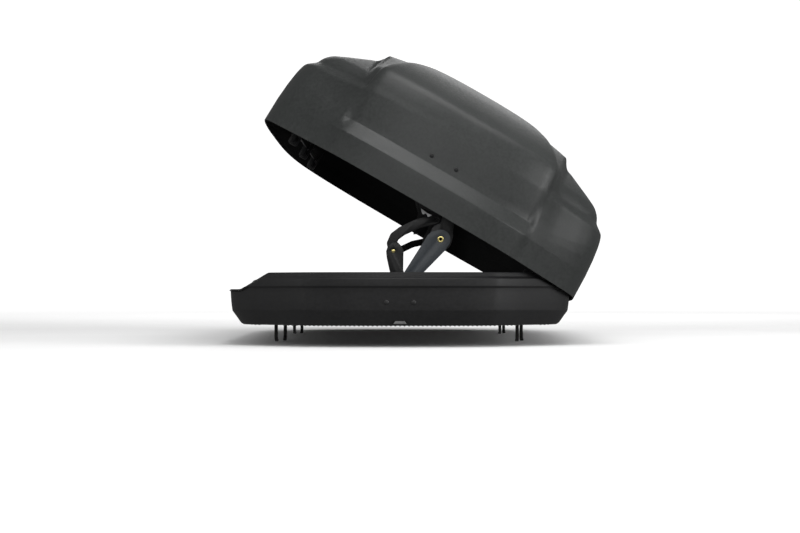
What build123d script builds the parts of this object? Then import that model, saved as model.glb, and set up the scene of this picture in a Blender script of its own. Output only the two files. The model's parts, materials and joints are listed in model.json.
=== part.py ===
from build123d import *
from collections import namedtuple
import math
import os

os.makedirs("parts", exist_ok=True)

# Roof cargo box, hinged and latched along both long sides.
# Row frame: X to the right seen from the tail end, Y forward, Z up.
# Origin: middle of the flat underside of the base. The lid is modelled open
# about the right-hand hinge axis. Lid coordinates are (across, up): across the
# box from its middle, and above the rim plane, both turned with the lid.

# ---------------------------------------------------------------- dimensions
LENGTH = 2080.0          # overall length of the shells
HALF_WIDTH = 437.0       # widest half width, at the lid rim
RIM_Z = 83.0             # plane of the closed lid rim above the underside
HINGE_X = 359.0          # both hinge axes, either side of the middle
HINGE_Z = 92.4
HINGE_UP = HINGE_Z - RIM_Z   # hinge height above the rim, in lid coordinates
LID_OPEN = 30.05         # modelled opening angle, degrees
LID_WALL = 4.5
BASE_WALL = 4.0
BORE_CLEAR = 0.06        # radial clearance of bores around bushes and pins
SIDES = {"left": -1, "right": 1}

# catches: three on each side, given by their Y stations
CATCH_Y = (-370.0, 110.0, 560.0)
PIN_R = 4.0
BUSH_BORE_R = PIN_R + 0.08
BUSH_FLANGE_R = 8.5
BRACKET_BUSH_R = 6.0
KNUCKLE_BUSH_R = 7.0
KNUCKLE_Y = -6.0         # front face of a knuckle block from its catch station
KNUCKLE_LENGTH = 18.0
BOLT_BAR_UP = 31.0       # centre height of the bolt bar, in lid coordinates

# floor rails and the screws that hold the catch brackets to them
FLOOR_RAIL_THICK = 3.0
FLOOR_RAIL_TOP = BASE_WALL + FLOOR_RAIL_THICK
FOOT_THICK = 3.0         # foot plate of a catch bracket
FOOT_X = 351.0
FOOT_SCREW_Y = 22.0      # screw position ahead of the catch station
FOOT_SCREW_R = 3.0

# handle and lock in each side wall of the lid
HANDLE_UP = 86.0         # centre height in lid coordinates
HANDLE_LENGTH = 126.0
CUP_LENGTH = 142.4
CUP_HEIGHT = 30.4
CUP_RECESS_HEIGHT = 25.2
CUP_GAP = 0.4            # gap all round the cup in its window
LOCK_Y = 46.0
LOCK_R = 8.0
LOCK_ACROSS = 423.0      # inner end of the lock cylinder
LOCK_LENGTH = 16.4

# lifter linkage, in the X-Z plane, lid open on the right-hand hinge
LONG_PIVOT = (-29.5, 51.5)    # long arm pivot on the base
SHORT_PIVOT = (29.5, 51.5)    # short arm pivot on the base
LONG_ELBOW = (88.7, 188.5)    # joins the long and upper arms
SHORT_ELBOW = (-14.6, 163.2)  # joins the short arm and the curved link
UPPER_ARM_END = (-30.7, 103.7)  # in lid coordinates
LINK_END = (47.9, -8.5)         # in lid coordinates
BRACKET_Z = 52.0         # centre height of the base brackets
PIVOT_R = 5.0
RIVET_R = 4.0
EYELET_R = 7.0
LID_SCREW_R = 3.0
LID_SCREW_HEAD_R = 5.0
BRACKET_HOLE_R = 3.1
LID_SCREWS = [(-UPPER_ARM_END[0], UPPER_ARM_END[1]), UPPER_ARM_END]

# near and far faces of each lifter layer, inwards from the outermost plane
LAYERS = {"bracket": (0, 4), "long_arm": (5, 10), "upper_arm": (11, 16),
          "short_arm": (17, 22), "link": (23, 28), "inner_leg": (29, 32)}

# Y stations at the two ends of the box; inward is the sign of Y towards the
# middle, outer_y the outermost lifter plane, wall_y the outer face of the base
# bracket, boss_y the outer face of the lid bracket bosses, then the outer end,
# step and inner end of the lid screw holes, and the outer face of the heads
End = namedtuple("End", "name inward outer_y wall_y boss_y hole_out hole_step hole_in head_y")
ENDS = (
    End("rear", 1, -986.0, -1012.5, -995.5, -1020.0, -1003.0, -990.0, -1006.6),
    End("front", -1, 958.0, 1001.0, 989.5, 1030.0, 1004.0, 985.0, 1008.0),
)

# roof bar clamps
CLAMP_X = 290.0
CLAMP_Y = {"rear": -500.0, "front": 300.0}
CLAMP_SLOT = (40, 144)   # floor slot and housing cavity, X by Y
HOUSING_HEIGHT = 24.0
HOUSING_CAVITY = 18.0    # cavity height above the floor
KNOB_GAP = 0.6
KNOB_SHANK_R = 5.0
JAW_DROP = 46.0          # jaw tip below the underside
JAW_THICK = 8.0

# ------------------------------------------------------------ measured tables
# half outline of the rim: half width, distance from the tail
RIM = [(150, 0), (235, 36), (305, 106), (370, 170), (404, 232), (420, 400), (434, 900),
       (437, 1300), (427, 1620), (402, 1810), (355, 1925), (250, 2025), (100, 2080)]

# shell levels: height, then side, rear and front insets from the rim outline;
# base heights are above the underside, lid heights above the rim
BASE_LEVELS = [(0, 49, 45, 62), (28, 25, 22, 32), (66, 21, 18, 25), (80, 20, 17, 24),
               (84, 13, 11, 15), (100, 13, 11, 15), (106, 17, 14, 19), (117, 24, 21, 26)]
BASE_CAVITY = [(BASE_WALL, 53, 49, 67), (28, 29.5, 26, 37), (66, 25, 22, 30),
               (82, 24, 21, 28), (86, 18, 16, 20), (100, 18, 16, 20),
               (106, 22, 19, 24), (120, 30, 27, 33)]
LID_LEVELS = [(0, 0, 0, 0), (56, 2, 2, 5), (86, 4, 30, 22), (124, 11, 42, 48),
              (158, 23, 56, 85), (192, 58, 82, 145), (235, 132, 128, 250),
              (270, 215, 195, 400), (292, 350, 320, 640)]
LID_CAVITY = [(-5, LID_WALL, LID_WALL, LID_WALL), (56, 6.5, 6.5, 9.5), (84, 8.5, 35, 27),
              (121, 16, 47, 54), (154, 28, 61, 92), (187, 64, 88, 155),
              (230, 138, 134, 260), (265, 222, 203, 412), (287, 352, 330, 655)]

# (x, z), right side; cut from the lip of the base
LIP_CUT = [(308, 118), (353, 91), (480, 91), (480, 130), (308, 130)]

# (across, up), right side
KNUCKLE = [(347, 0), (351, -4), (367, -4), (371, 0), (372, 44), (378, 50),
           (410.8, 50), (410.8, 63), (352, 63), (346, 57)]
HANDLE = [(427.5, 97.4), (427.5, 88), (431, 84), (431, 75.5), (436.5, 75.5),
          (438.6, 79), (438.6, 93), (436.4, 97.4)]

# (across, up), right half of the outer and inner edges of a hoop
HOOP_OUTER = [(404, 67.5), (404, 110), (392, 138), (374, 158), (338, 178),
              (296, 200), (236, 222), (150, 243), (60, 252)]
HOOP_INNER = [(401, 67.5), (401, 109.4), (389.4, 136), (371.8, 155.6), (336.5, 175.2),
              (294.7, 197.2), (235, 219.2), (149.6, 240.1), (60, 249)]

# (x, z)
LONG_ARM = [(-9, 90), (9.5, 117.4), (43.5, 170.7), (54, 187.5), (60, 197.5),
            (68.7, 205), (88, 210), (103, 203.5), (110, 188), (99.8, 165.5),
            (76.1, 141.1), (52.4, 117.4), (20, 84)]
SHORT_ARM = [(17, 44), (-12, 92), (-22.8, 119.9), (-29, 148), (-30.5, 163), (-26, 176),
             (-16, 184), (-4, 182), (4, 173), (8, 164), (7.6, 155), (7, 122),
             (14, 100), (43, 58)]

# (across, up)
BRACKET_PLATE = [(-52, 128), (-52, 92), (-18, 60), (-2, 2), (4, -8), (12, -2),
                 (22, -2), (33, 2), (34, 60), (52, 92), (52, 128)]
INNER_LEG = [(10, 128), (10, 100), (36, 30), (36, -8), (42, -19), (54, -19),
             (60, -8), (60, 40), (52, 128)]

# (y ahead of the clamp centre, z) of the forward jaw
JAW = [(56, 20), (12, 20), (12, 9), (45, 9), (45, -33), (41, -39), (24, -41.5),
       (22, -45), (36, -JAW_DROP), (50, -42.5), (56, -32)]

# ------------------------------------------------------------- lid placement
COS_OPEN = math.cos(math.radians(LID_OPEN))
SIN_OPEN = math.sin(math.radians(LID_OPEN))
LID_X = HINGE_X - HINGE_X * COS_OPEN - HINGE_UP * SIN_OPEN
LID_Z = HINGE_Z + HINGE_X * SIN_OPEN - HINGE_UP * COS_OPEN
LID = Plane(origin=(LID_X, 0, LID_Z), x_dir=(COS_OPEN, 0, -SIN_OPEN),
            z_dir=(SIN_OPEN, 0, COS_OPEN))


# ------------------------------------------------------------------- helpers
def lid_point(across, up):
    """Lid coordinates to the row's (x, z)."""
    return (LID_X + across * COS_OPEN + up * SIN_OPEN,
            LID_Z - across * SIN_OPEN + up * COS_OPEN)


def lid_section(y):
    """Cross-section plane of the lid at y; local axes are (across, up), normal -Y."""
    return Plane(origin=(LID_X, y, LID_Z), x_dir=(COS_OPEN, 0, -SIN_OPEN), z_dir=(0, -1, 0))


def row_section(y):
    """Cross-section plane of the base at y; local axes are (x, z), normal -Y."""
    return Plane(origin=(0, y, 0), x_dir=(1, 0, 0), z_dir=(0, -1, 0))


def lock_plane(sign, across):
    """Plane square to the lock axis, facing out of the side wall."""
    x, z = lid_point(sign * across, HANDLE_UP)
    return Plane(origin=(x, LOCK_Y, z), x_dir=(0, sign, 0),
                 z_dir=(sign * COS_OPEN, 0, -sign * SIN_OPEN))


def flip(points, sign):
    """Points with the first coordinate multiplied by sign."""
    return [(sign * first, second) for first, second in points]


def both_halves(points):
    """The points followed by their mirror image, back to the start."""
    return points + flip(points, -1)[::-1]


def outline(side, rear, front):
    """Closed plan outline, inset from the rim by side, rear and front amounts."""
    half_length = LENGTH / 2
    side_scale = (HALF_WIDTH - side) / HALF_WIDTH
    points = []
    for x, from_tail in RIM:
        y = from_tail - half_length
        inset = rear if y < 0 else front
        points.append((x * side_scale, y * (half_length - inset) / half_length))
    return both_halves(points)


def slab(y1, y2):
    """Forward face of the slab between two Y planes, and its depth along -Y."""
    return max(y1, y2), abs(y1 - y2)


def lifter_slab(end, near, far):
    """Slab between two distances inwards from the outermost lifter plane."""
    return slab(end.outer_y + end.inward * near, end.outer_y + end.inward * far)


def save(builder, name):
    part = builder.part
    part.label = name
    export_step(part, "parts/" + name + ".step")


# -------------------------------------------------------------------- shells
def make_base_shell():
    with BuildPart() as shell:
        for levels, mode in ((BASE_LEVELS, Mode.ADD), (BASE_CAVITY, Mode.SUBTRACT)):
            for height, *insets in levels:
                with BuildSketch(Plane.XY.offset(height)):
                    with BuildLine():
                        Polyline(*outline(*insets), close=True)
                    make_face()
            loft(ruled=True, mode=mode)
        # the lip drops along both sides to clear the hinge hardware
        for sign in (1, -1):
            with BuildSketch(row_section(LENGTH / 2)):
                with BuildLine():
                    Polyline(*flip(LIP_CUT, sign), close=True)
                make_face()
            extrude(amount=LENGTH, mode=Mode.SUBTRACT)
        # one slot through the floor under each clamp
        with BuildSketch(Plane.XY.offset(-1)):
            with Locations(*[(sign * CLAMP_X, y) for sign in (-1, 1) for y in CLAMP_Y.values()]):
                Rectangle(*CLAMP_SLOT)
        extrude(amount=BASE_WALL + 2, mode=Mode.SUBTRACT)
    save(shell, "base_shell")


def make_lid_shell():
    window_height = CUP_HEIGHT + 2 * CUP_GAP
    with BuildPart() as shell:
        for levels, mode in ((LID_LEVELS, Mode.ADD), (LID_CAVITY, Mode.SUBTRACT)):
            for height, *insets in levels:
                with BuildSketch(LID.offset(height)):
                    with BuildLine():
                        Polyline(*outline(*insets), close=True)
                    make_face()
            loft(ruled=True, mode=mode)
        # window for the handle cup in each side wall
        with BuildSketch(LID.offset(HANDLE_UP - window_height / 2)):
            with Locations((430, 0), (-430, 0)):
                Rectangle(40, CUP_LENGTH + 2 * CUP_GAP)
        extrude(amount=window_height, mode=Mode.SUBTRACT)
        # two stepped holes through each end wall for the lid bracket screws
        for end in ENDS:
            for screw in LID_SCREWS:
                for y1, y2, radius in (
                        (end.hole_out, end.hole_step, LID_SCREW_HEAD_R + 0.15),
                        (end.hole_step, end.hole_in, LID_SCREW_R + BORE_CLEAR)):
                    y, depth = slab(y1, y2)
                    with BuildSketch(lid_section(y)):
                        with Locations(screw):
                            Circle(radius)
                    extrude(amount=depth, mode=Mode.SUBTRACT)
    save(shell, "lid_shell")


# -------------------------------------------------------- base reinforcement
def make_floor_rail(side, sign):
    with BuildPart() as rail:
        with BuildSketch(Plane.XY.offset(BASE_WALL)):
            with Locations((sign * 348.5, 75)):
                SlotOverall(1080, 29, rotation=90)
            with Locations(*[(sign * FOOT_X, y + FOOT_SCREW_Y) for y in CATCH_Y]):
                Circle(FOOT_SCREW_R + 0.2, mode=Mode.SUBTRACT)
        extrude(amount=FLOOR_RAIL_THICK)
    save(rail, side + "_floor_rail")


def make_catch_brackets(side, sign):
    post_width = 24
    post_thick = 4
    gusset_width = 3
    with BuildPart() as brackets:
        for catch_y in CATCH_Y:
            # post with a round head, widened inwards at its foot
            with BuildSketch(row_section(catch_y + post_thick)):
                with Locations((sign * HINGE_X, HINGE_Z)):
                    Circle(post_width / 2)
                with Locations((sign * HINGE_X, (FLOOR_RAIL_TOP + HINGE_Z) / 2)):
                    Rectangle(post_width, HINGE_Z - FLOOR_RAIL_TOP)
                with Locations((sign * (HINGE_X - 2), FLOOR_RAIL_TOP + 15)):
                    Rectangle(26, 30)
                with Locations((sign * HINGE_X, HINGE_Z)):
                    Circle(BRACKET_BUSH_R + BORE_CLEAR, mode=Mode.SUBTRACT)
            extrude(amount=post_thick)
            # foot plate on the floor rail
            with BuildSketch(Plane.XY.offset(FLOOR_RAIL_TOP)):
                with Locations((sign * FOOT_X, catch_y + 19)):
                    Rectangle(24, 30)
                with Locations((sign * FOOT_X, catch_y + FOOT_SCREW_Y)):
                    Circle(FOOT_SCREW_R + 0.3, mode=Mode.SUBTRACT)
            extrude(amount=FOOT_THICK)
            # side gussets ahead of the post
            for edge in (-1, 1):
                with BuildSketch(row_section(catch_y + post_thick)):
                    with Locations((sign * HINGE_X + edge * (post_width - gusset_width) / 2, 36)):
                        Rectangle(gusset_width, 56)
                extrude(amount=-9)
    save(brackets, side + "_catch_brackets")


def make_bracket_screws():
    with BuildPart() as screws:
        for sign in (-1, 1):
            for catch_y in CATCH_Y:
                # head with a hexagonal recess, then the shank
                with BuildSketch(Plane.XY.offset(FLOOR_RAIL_TOP + FOOT_THICK)):
                    with Locations((sign * FOOT_X, catch_y + FOOT_SCREW_Y)):
                        Circle(6)
                        RegularPolygon(3, 6, mode=Mode.SUBTRACT)
                extrude(amount=3)
                with BuildSketch(Plane.XY.offset(BASE_WALL + 0.1)):
                    with Locations((sign * FOOT_X, catch_y + FOOT_SCREW_Y)):
                        Circle(FOOT_SCREW_R)
                extrude(amount=7.5)
    save(screws, "bracket_screws")


# flanged bushes: forward face from the catch station, length along -Y, radius
# of the body, the flange and the neck that joins them
BRACKET_BUSH = [(4, 4, BRACKET_BUSH_R), (5.5, 1.4, BUSH_FLANGE_R), (4.5, 1, BRACKET_BUSH_R)]
KNUCKLE_BUSH = [(KNUCKLE_Y, KNUCKLE_LENGTH, KNUCKLE_BUSH_R), (-24.1, 1.5, BUSH_FLANGE_R),
                (-24, 1.5, KNUCKLE_BUSH_R)]


def make_bushes(name, section, centre, stages):
    """One bush per catch, centred in the given kind of section plane."""
    with BuildPart() as bushes:
        for catch_y in CATCH_Y:
            for y, length, radius in stages:
                with BuildSketch(section(catch_y + y)):
                    with Locations(centre):
                        Circle(radius)
                        Circle(BUSH_BORE_R, mode=Mode.SUBTRACT)
                extrude(amount=length)
    save(bushes, name)


# --------------------------------------------------------- lid side hardware
def make_lid_rail(side, sign):
    """Angle section: an upright plate with an inward flange along its top."""
    outer_face = 414
    bottom = 49
    height = 18
    thick = 3
    flange = 12
    middle_y = 60
    length = 1090
    with BuildPart() as rail:
        with BuildSketch(LID.offset(bottom)):
            with Locations((sign * (outer_face - thick / 2), middle_y)):
                Rectangle(thick, length)
        extrude(amount=height)
        with BuildSketch(LID.offset(bottom + height - thick)):
            with Locations((sign * (outer_face - flange / 2), middle_y)):
                Rectangle(flange, length)
        extrude(amount=thick)
    save(rail, side + "_lid_rail")


def make_knuckle_blocks(side, sign):
    with BuildPart() as blocks:
        for catch_y in CATCH_Y:
            with BuildSketch(lid_section(catch_y + KNUCKLE_Y)):
                with BuildLine():
                    Polyline(*flip(KNUCKLE, sign), close=True)
                make_face()
                with Locations((sign * HINGE_X, HINGE_UP)):
                    Circle(KNUCKLE_BUSH_R + BORE_CLEAR, mode=Mode.SUBTRACT)
                # passage for the bolt bar
                with Locations((sign * HINGE_X, BOLT_BAR_UP)):
                    Rectangle(9, 17, mode=Mode.SUBTRACT)
            extrude(amount=KNUCKLE_LENGTH)
    save(blocks, side + "_knuckle_blocks")


def make_bolt_bar(side, sign):
    tongue_length = 28
    with BuildPart() as bar:
        with BuildSketch(lid_section(580)):
            with Locations((sign * HINGE_X, BOLT_BAR_UP)):
                Rectangle(4, 13)
        extrude(amount=1062)
        for catch_y in CATCH_Y:
            # finger down from the bar, then the pin it carries
            with BuildSketch(lid_section(catch_y - 46)):
                with Locations((sign * HINGE_X, 16.5)):
                    Rectangle(10, 24)
                with Locations((sign * HINGE_X, 4.5)):
                    Circle(5)
            extrude(amount=6)
            with BuildSketch(lid_section(catch_y + 12)):
                with Locations((sign * HINGE_X, HINGE_UP)):
                    Circle(PIN_R)
            extrude(amount=60)
        # tongue that the handle pulls
        with BuildSketch(lid_section(50)):
            with Locations((sign * (HINGE_X + tongue_length / 2), 34)):
                Rectangle(tongue_length, 4)
        extrude(amount=20)
    save(bar, side + "_bolt_bar")


def make_handle_cup(side, sign):
    with BuildPart() as cup:
        with BuildSketch(LID.offset(HANDLE_UP - CUP_HEIGHT / 2)):
            with Locations((sign * 423.2, 0)):
                Rectangle(23.6, CUP_LENGTH)
        extrude(amount=CUP_HEIGHT)
        # recess open to the outside
        with BuildSketch(LID.offset(HANDLE_UP - CUP_RECESS_HEIGHT / 2)):
            with Locations((sign * 427, 0)):
                Rectangle(26, 134)
        extrude(amount=CUP_RECESS_HEIGHT, mode=Mode.SUBTRACT)
    save(cup, side + "_handle_cup")


def make_handle(side, sign):
    with BuildPart() as handle:
        with BuildSketch(lid_section(HANDLE_LENGTH / 2)):
            with BuildLine():
                Polyline(*flip(HANDLE, sign), close=True)
            make_face()
        extrude(amount=HANDLE_LENGTH)
        # hole for the lock cylinder
        with BuildSketch(lock_plane(sign, 432)):
            Circle(LOCK_R + 0.1)
        extrude(amount=12, both=True, mode=Mode.SUBTRACT)
    save(handle, side + "_handle")


def make_lock_cylinder(side, sign):
    with BuildPart() as lock:
        with BuildSketch(lock_plane(sign, LOCK_ACROSS)):
            Circle(LOCK_R)
        extrude(amount=LOCK_LENGTH)
        # key slot in the outer end
        with BuildSketch(lock_plane(sign, LOCK_ACROSS + LOCK_LENGTH)):
            Rectangle(1.4, 9)
        extrude(amount=-4, mode=Mode.SUBTRACT)
    save(lock, side + "_lock_cylinder")


def make_lid_hoops():
    """Stiffening hoops across the inside of the lid."""
    section = both_halves(HOOP_OUTER)[::-1] + both_halves(HOOP_INNER)
    with BuildPart() as hoops:
        for hoop_y in (-420, 330):
            with BuildSketch(lid_section(hoop_y)):
                with BuildLine():
                    Polyline(*section, close=True)
                make_face()
            extrude(amount=26)
    save(hoops, "lid_hoops")


# ------------------------------------------------------------------- lifters
def make_base_bracket(end):
    """Wall plate, stand-off block and the two pivot sockets."""
    face = 4.4               # inner face of the block, from the outermost plane
    face_y = end.outer_y + end.inward * face
    with BuildPart() as bracket:
        y, depth = slab(end.wall_y, end.wall_y + end.inward * 3)
        with BuildSketch(row_section(y)):
            with Locations((0, BRACKET_Z)):
                RectangleRounded(126, 40, 6)
        extrude(amount=depth)
        y, depth = slab(end.wall_y + end.inward * 2.9, face_y)
        with BuildSketch(row_section(y)):
            with Locations((0, BRACKET_Z)):
                RectangleRounded(96, 32, 6)
        extrude(amount=depth)
        y, depth = lifter_slab(end, face - 14, face + 1)
        with BuildSketch(row_section(y)):
            with Locations(LONG_PIVOT, SHORT_PIVOT):
                Circle(PIVOT_R + BORE_CLEAR)
        extrude(amount=depth, mode=Mode.SUBTRACT)
    save(bracket, end.name + "_lifter_base_bracket")


def make_long_arm(end):
    y, depth = lifter_slab(end, *LAYERS["long_arm"])
    with BuildPart() as arm:
        with BuildSketch(row_section(y)):
            with Locations(LONG_PIVOT):
                Circle(15)
            with Locations((7, 93)):
                Circle(15.5)
            make_hull()
            with BuildLine():
                Polyline(*LONG_ARM, close=True)
            make_face()
            with Locations(LONG_ELBOW):
                Circle(21.5)
            with Locations(LONG_PIVOT):
                Circle(PIVOT_R + BORE_CLEAR, mode=Mode.SUBTRACT)
            with Locations(LONG_ELBOW):
                Circle(EYELET_R + BORE_CLEAR, mode=Mode.SUBTRACT)
        extrude(amount=depth)
    save(arm, end.name + "_long_arm")


def make_upper_arm(end):
    arm_end = lid_point(*UPPER_ARM_END)
    # each limb is the hull of two circles: centre and radius, twice
    limbs = [(LONG_ELBOW, 25, (91, 199), 25), ((100, 208), 16, (107, 240), 13),
             ((107, 240), 13, (106, 286), 13), ((106, 286), 13, arm_end, 13.5)]
    y, depth = lifter_slab(end, *LAYERS["upper_arm"])
    with BuildPart() as arm:
        with BuildSketch(row_section(y)):
            for start, start_radius, stop, stop_radius in limbs:
                with BuildSketch(mode=Mode.ADD):
                    with Locations(start):
                        Circle(start_radius)
                    with Locations(stop):
                        Circle(stop_radius)
                    make_hull()
            with Locations(LONG_ELBOW):
                Circle(EYELET_R + BORE_CLEAR, mode=Mode.SUBTRACT)
            with Locations(arm_end):
                Circle(5.5, mode=Mode.SUBTRACT)
        extrude(amount=depth)
    save(arm, end.name + "_upper_arm")


def make_short_arm(end):
    y, depth = lifter_slab(end, *LAYERS["short_arm"])
    with BuildPart() as arm:
        with BuildSketch(row_section(y)):
            with BuildLine():
                Polyline(*SHORT_ARM, close=True)
            make_face()
            with Locations(SHORT_PIVOT):
                Circle(15)
                Circle(PIVOT_R + BORE_CLEAR, mode=Mode.SUBTRACT)
            with Locations(SHORT_ELBOW):
                Circle(RIVET_R + BORE_CLEAR, mode=Mode.SUBTRACT)
        extrude(amount=depth)
    save(arm, end.name + "_short_arm")


def make_curved_link(end):
    link_end = lid_point(*LINK_END)
    path = [SHORT_ELBOW, (-18.5, 180), (-12, 195), (4, 207), (40, 224), link_end]
    y, depth = lifter_slab(end, *LAYERS["link"])
    with BuildPart() as link:
        with BuildSketch(row_section(y)):
            for start, stop in zip(path[:-1], path[1:]):
                with BuildSketch(mode=Mode.ADD):
                    with Locations(start, stop):
                        Circle(10.5)
                    make_hull()
            with Locations(SHORT_ELBOW):
                Circle(14)
                Circle(RIVET_R + BORE_CLEAR, mode=Mode.SUBTRACT)
            with Locations(link_end):
                Circle(4.5, mode=Mode.SUBTRACT)
        extrude(amount=depth)
    save(link, end.name + "_curved_link")


def make_lid_bracket(end):
    web_up = 126.5           # centre height of the top web
    with BuildPart() as bracket:
        y, depth = lifter_slab(end, *LAYERS["bracket"])
        with BuildSketch(lid_section(y)):
            with BuildLine():
                Polyline(*BRACKET_PLATE, close=True)
            make_face()
            with Locations(*LID_SCREWS):
                Circle(BRACKET_HOLE_R, mode=Mode.SUBTRACT)
        extrude(amount=depth)
        # stand-off bosses between the plate and the end wall
        y, depth = slab(end.boss_y, end.outer_y + end.inward * 0.1)
        with BuildSketch(lid_section(y)):
            with Locations(*LID_SCREWS):
                Circle(8)
                Circle(BRACKET_HOLE_R, mode=Mode.SUBTRACT)
        extrude(amount=depth)
        # top web from the plate to the inner leg
        y, depth = lifter_slab(end, LAYERS["bracket"][0], LAYERS["inner_leg"][1])
        with BuildSketch(lid_section(y)):
            with Locations((0, web_up)):
                Rectangle(104, 3)
        extrude(amount=depth)
        # slot in the web around the upper arm's layer
        near, far = LAYERS["upper_arm"]
        y, depth = lifter_slab(end, near - 0.7, far + 0.7)
        with BuildSketch(lid_section(y)):
            with Locations((-27.5, web_up)):
                Rectangle(47, 8)
        extrude(amount=depth, mode=Mode.SUBTRACT)
        # inner leg that carries the curved link
        y, depth = lifter_slab(end, *LAYERS["inner_leg"])
        with BuildSketch(lid_section(y)):
            with BuildLine():
                Polyline(*INNER_LEG, close=True)
            make_face()
        extrude(amount=depth)
    save(bracket, end.name + "_lifter_lid_bracket")


# linkage pins, one per lifter: name, centre, radius, bore radius (0 is solid),
# near and far ends inwards from the outermost lifter plane
LINKAGE_PINS = [
    ("long_arm_pivots", LONG_PIVOT, PIVOT_R, 0, -7.5, 10.6),
    ("short_arm_pivots", SHORT_PIVOT, PIVOT_R, 0, -7.5, 22.5),
    ("link_rivets", SHORT_ELBOW, RIVET_R, 0, 16.3, 28.6),
    ("elbow_eyelets", LONG_ELBOW, EYELET_R, 3.4, 4.3, 16.6),
]


def make_linkage_pins(name, centre, radius, bore, near, far):
    with BuildPart() as pins:
        for end in ENDS:
            y, depth = lifter_slab(end, near, far)
            with BuildSketch(row_section(y)):
                with Locations(centre):
                    Circle(radius)
                    if bore:
                        Circle(bore, mode=Mode.SUBTRACT)
            extrude(amount=depth)
    save(pins, name)


def make_lid_bracket_screws():
    """Screws through the lid end walls into the lid brackets."""
    with BuildPart() as screws:
        for end in ENDS:
            head = slab(end.head_y, end.hole_step - end.inward * 0.05)
            shank = slab(end.head_y + end.inward * 1.0, end.outer_y + end.inward * 3.8)
            for screw in LID_SCREWS:
                for (y, depth), radius in ((head, LID_SCREW_HEAD_R), (shank, LID_SCREW_R)):
                    with BuildSketch(lid_section(y)):
                        with Locations(screw):
                            Circle(radius)
                    extrude(amount=depth)
    save(screws, "lid_bracket_screws")


# ----------------------------------------------------------- roof bar clamps
def make_clamp_housings():
    """Boxes over the floor slots, open below, each with a hole in its top."""
    with BuildPart() as housings:
        for sign in (-1, 1):
            for y in CLAMP_Y.values():
                with BuildSketch(Plane.XY.offset(BASE_WALL)):
                    with Locations((sign * CLAMP_X, y)):
                        RectangleRounded(64, 170, 10)
                extrude(amount=HOUSING_HEIGHT)
                with BuildSketch(Plane.XY.offset(BASE_WALL)):
                    with Locations((sign * CLAMP_X, y)):
                        Rectangle(*CLAMP_SLOT)
                extrude(amount=HOUSING_CAVITY, mode=Mode.SUBTRACT)
                with BuildSketch(Plane.XY.offset(20)):
                    with Locations((sign * CLAMP_X, y)):
                        Circle(KNOB_SHANK_R + BORE_CLEAR)
                extrude(amount=10, mode=Mode.SUBTRACT)
    save(housings, "clamp_housings")


def make_clamp_knob(name, x, y):
    """Scalloped knob with a shank down into the housing."""
    with BuildPart() as knob:
        with BuildSketch(Plane.XY.offset(BASE_WALL + HOUSING_HEIGHT + KNOB_GAP)):
            with Locations((x, y)):
                Circle(30)
                with PolarLocations(32.5, 8):
                    Circle(6.5, mode=Mode.SUBTRACT)
        extrude(amount=20)
        with BuildSketch(Plane.XY.offset(BASE_WALL + HOUSING_CAVITY + KNOB_GAP)):
            with Locations((x, y)):
                Circle(KNOB_SHANK_R)
        extrude(amount=7)
        fillet(knob.faces().sort_by(Axis.Z)[-1].edges(), 2)
    save(knob, name + "_clamp_knob")


def make_jaw(name, x, y, facing):
    """Hooked jaw; facing is 1 for the forward one and -1 for the rearward one."""
    left_face = x + facing * 8 - JAW_THICK / 2
    with BuildPart() as jaw:
        with BuildSketch(Plane(origin=(left_face, y, 0), x_dir=(0, 1, 0), z_dir=(1, 0, 0))):
            with BuildLine():
                Polyline(*flip(JAW, facing), close=True)
            make_face()
        extrude(amount=JAW_THICK)
    save(jaw, name)


# --------------------------------------------------------------------- build
make_base_shell()
make_lid_shell()

for side, sign in SIDES.items():
    make_floor_rail(side, sign)
    make_catch_brackets(side, sign)
    make_bushes(side + "_bracket_bushes", row_section, (sign * HINGE_X, HINGE_Z), BRACKET_BUSH)
    make_lid_rail(side, sign)
    make_knuckle_blocks(side, sign)
    make_bushes(side + "_pin_bushes", lid_section, (sign * HINGE_X, HINGE_UP), KNUCKLE_BUSH)
    make_bolt_bar(side, sign)
    make_handle_cup(side, sign)
    make_handle(side, sign)
    make_lock_cylinder(side, sign)
make_bracket_screws()
make_lid_hoops()

for end in ENDS:
    make_base_bracket(end)
    make_long_arm(end)
    make_upper_arm(end)
    make_short_arm(end)
    make_curved_link(end)
    make_lid_bracket(end)
for pin in LINKAGE_PINS:
    make_linkage_pins(*pin)
make_lid_bracket_screws()

make_clamp_housings()
for end_name, clamp_y in CLAMP_Y.items():
    for side, sign in SIDES.items():
        clamp = end_name + "_" + side
        make_clamp_knob(clamp, sign * CLAMP_X, clamp_y)
        make_jaw(clamp + "_outer_jaw", sign * CLAMP_X, clamp_y, -1)
        make_jaw(clamp + "_inner_jaw", sign * CLAMP_X, clamp_y, 1)
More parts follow.
